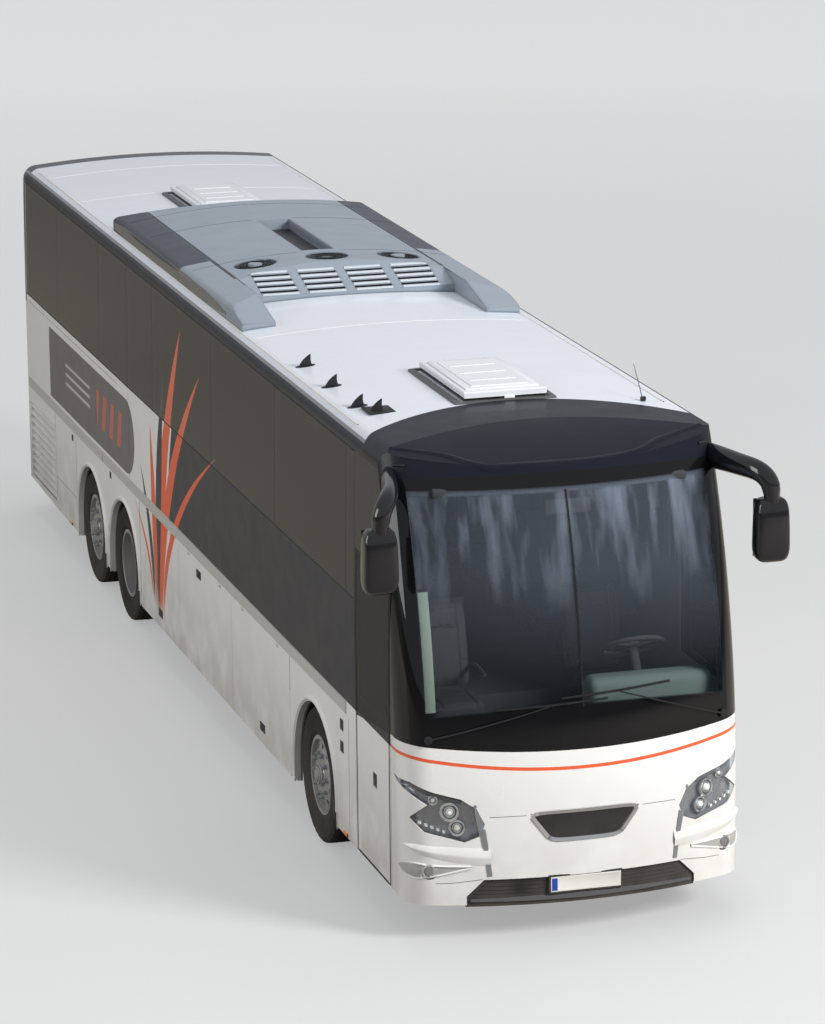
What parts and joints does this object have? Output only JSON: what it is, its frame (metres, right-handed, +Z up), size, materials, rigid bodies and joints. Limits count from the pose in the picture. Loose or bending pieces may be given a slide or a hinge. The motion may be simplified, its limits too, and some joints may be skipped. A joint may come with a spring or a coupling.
{
  "type": "coach bus",
  "caption": "Three-axle touring coach with raked front, deep side windows, luggage flaps, plug door, roof hatches and roof air conditioning.",
  "frame": {"origin": "centre of the bounding box on the ground", "axes": "+X to the coach's left, +Y to its rear, +Z up"},
  "size_m": [3.14, 13.9, 3.6998],
  "materials": {
    "body_paint": "satin",
    "dark_paint": "gloss",
    "roof_unit": "satin",
    "black_trim": "matt",
    "glazing": "gloss",
    "lamp": "gloss",
    "tail_lamp": "gloss",
    "frame_paint": "matt",
    "floor": "matt",
    "engine": "matt",
    "rim_paint": "satin",
    "tyre": "matt",
    "seat_cloth": "matt",
    "interior": "matt"
  },
  "bodies": {
    "coach": {"front_mask": "body_paint", "front_trim": "black_trim", "windscreen": "glazing", "roof_front_cap": "dark_paint", "roof_panel": "body_paint", "side_wall_right": "body_paint", "side_wall_left": "body_paint", "side_glass_right": "glazing", "side_glass_left": "glazing", "rear_wall": "body_paint", "rear_window": "glazing", "tail_lamps": "tail_lamp", "headlamps": "lamp", "wipers": "black_trim", "mirrors": "black_trim", "ac_unit": "roof_unit", "floor_deck": "floor", "entry_steps": "floor", "side_rails": "frame_paint", "cross_members": "frame_paint", "nose_member": "frame_paint", "luggage_bay": "frame_paint", "wheel_housings": "frame_paint", "engine_block": "engine", "front_axle": "frame_paint", "drive_axle": "frame_paint", "tag_axle": "frame_paint", "dashboard": "interior", "steering_wheel": "interior", "crew_seats": "seat_cloth", "seats_left": "seat_cloth", "seats_right": "seat_cloth"},
    "front_left_knuckle": {"knuckle_front_left": "frame_paint"},
    "front_left_wheel": {"rim_front_left": "rim_paint", "tyre_front_left": "tyre"},
    "front_right_knuckle": {"knuckle_front_right": "frame_paint"},
    "front_right_wheel": {"rim_front_right": "rim_paint", "tyre_front_right": "tyre"},
    "tag_left_knuckle": {"knuckle_tag_left": "frame_paint"},
    "tag_left_wheel": {"rim_tag_left": "rim_paint", "tyre_tag_left": "tyre"},
    "tag_right_knuckle": {"knuckle_tag_right": "frame_paint"},
    "tag_right_wheel": {"rim_tag_right": "rim_paint", "tyre_tag_right": "tyre"},
    "drive_left_wheel": {"rim_drive_left": "rim_paint", "tyre_drive_left": "tyre"},
    "drive_right_wheel": {"rim_drive_right": "rim_paint", "tyre_drive_right": "tyre"},
    "door_arm": {"door_arm": "frame_paint"},
    "door_leaf": {"front_door": "body_paint", "door_glass": "glazing"},
    "luggage_flap_right_front": {"luggage_flap_right_front": "body_paint"},
    "luggage_flap_right_middle": {"luggage_flap_right_middle": "body_paint"},
    "luggage_flap_right_rear": {"luggage_flap_right_rear": "body_paint"},
    "luggage_flap_left_front": {"luggage_flap_left_front": "body_paint"},
    "luggage_flap_left_middle": {"luggage_flap_left_middle": "body_paint"},
    "luggage_flap_left_rear": {"luggage_flap_left_rear": "body_paint"},
    "engine_flap": {"engine_flap": "body_paint"},
    "roof_hatch_front": {"roof_hatch_front": "body_paint"},
    "roof_hatch_rear": {"roof_hatch_rear": "body_paint"}
  },
  "joints": [
    {"name": "front_left_steer", "type": "hinge", "parent": "coach", "child": "front_left_knuckle", "pos_m": [0.95, -4.27, 0.522], "axis": [0, 0, 1], "range_deg": [-45, 45]},
    {"name": "front_left_roll", "type": "hinge", "parent": "front_left_knuckle", "child": "front_left_wheel", "pos_m": [1.102, -4.27, 0.522], "axis": [1, 0, 0], "continuous": true},
    {"name": "front_right_steer", "type": "hinge", "parent": "coach", "child": "front_right_knuckle", "pos_m": [-0.95, -4.27, 0.522], "axis": [0, 0, 1], "range_deg": [-45, 45]},
    {"name": "front_right_roll", "type": "hinge", "parent": "front_right_knuckle", "child": "front_right_wheel", "pos_m": [-1.102, -4.27, 0.522], "axis": [1, 0, 0], "continuous": true},
    {"name": "tag_left_steer", "type": "hinge", "parent": "coach", "child": "tag_left_knuckle", "pos_m": [0.95, 3.83, 0.522], "axis": [0, 0, 1], "range_deg": [-15, 15]},
    {"name": "tag_left_roll", "type": "hinge", "parent": "tag_left_knuckle", "child": "tag_left_wheel", "pos_m": [1.102, 3.83, 0.522], "axis": [1, 0, 0], "continuous": true},
    {"name": "tag_right_steer", "type": "hinge", "parent": "coach", "child": "tag_right_knuckle", "pos_m": [-0.95, 3.83, 0.522], "axis": [0, 0, 1], "range_deg": [-15, 15]},
    {"name": "tag_right_roll", "type": "hinge", "parent": "tag_right_knuckle", "child": "tag_right_wheel", "pos_m": [-1.102, 3.83, 0.522], "axis": [1, 0, 0], "continuous": true},
    {"name": "drive_left_roll", "type": "hinge", "parent": "coach", "child": "drive_left_wheel", "pos_m": [0.932, 2.43, 0.522], "axis": [1, 0, 0], "continuous": true},
    {"name": "drive_right_roll", "type": "hinge", "parent": "coach", "child": "drive_right_wheel", "pos_m": [-0.932, 2.43, 0.522], "axis": [1, 0, 0], "continuous": true},
    {"name": "door_arm_swing", "type": "hinge", "parent": "coach", "child": "door_arm", "pos_m": [-1.15, -6.31, 1], "axis": [0, 0, 1], "range_deg": [0, 150]},
    {"name": "door_leaf_swing", "type": "hinge", "parent": "door_arm", "child": "door_leaf", "pos_m": [-1.15, -5.91, 1], "axis": [0, 0, 1], "range_deg": [-150, 0]},
    {"name": "luggage_flap_right_front_lift", "type": "hinge", "parent": "coach", "child": "luggage_flap_right_front", "pos_m": [-1.261, -2.581, 1.257], "axis": [0, 1, 0], "range_deg": [0, 90]},
    {"name": "luggage_flap_right_middle_lift", "type": "hinge", "parent": "coach", "child": "luggage_flap_right_middle", "pos_m": [-1.261, -0.695, 1.257], "axis": [0, 1, 0], "range_deg": [0, 90]},
    {"name": "luggage_flap_right_rear_lift", "type": "hinge", "parent": "coach", "child": "luggage_flap_right_rear", "pos_m": [-1.261, 1.006, 1.257], "axis": [0, 1, 0], "range_deg": [0, 90]},
    {"name": "luggage_flap_left_front_lift", "type": "hinge", "parent": "coach", "child": "luggage_flap_left_front", "pos_m": [1.261, -2.581, 1.257], "axis": [0, -1, 0], "range_deg": [0, 90]},
    {"name": "luggage_flap_left_middle_lift", "type": "hinge", "parent": "coach", "child": "luggage_flap_left_middle", "pos_m": [1.261, -0.695, 1.257], "axis": [0, -1, 0], "range_deg": [0, 90]},
    {"name": "luggage_flap_left_rear_lift", "type": "hinge", "parent": "coach", "child": "luggage_flap_left_rear", "pos_m": [1.261, 1.006, 1.257], "axis": [0, -1, 0], "range_deg": [0, 90]},
    {"name": "engine_flap_lift", "type": "hinge", "parent": "coach", "child": "engine_flap", "pos_m": [0, 6.942, 1.462], "axis": [1, 0, 0], "range_deg": [0, 90]},
    {"name": "roof_hatch_front_lift", "type": "hinge", "parent": "coach", "child": "roof_hatch_front", "pos_m": [0, -3.918, 3.554], "axis": [-1, 0, 0], "range_deg": [0, 60]},
    {"name": "roof_hatch_rear_lift", "type": "hinge", "parent": "coach", "child": "roof_hatch_rear", "pos_m": [0, 4.412, 3.554], "axis": [-1, 0, 0], "range_deg": [0, 60]}
  ],
  "couplings": [
    {"joint": "front_right_steer", "follows": "front_left_steer", "ratio": 1},
    {"joint": "tag_left_steer", "follows": "front_left_steer", "ratio": -0.33333},
    {"joint": "tag_right_steer", "follows": "front_left_steer", "ratio": -0.33333},
    {"joint": "door_leaf_swing", "follows": "door_arm_swing", "ratio": -1}
  ]
}
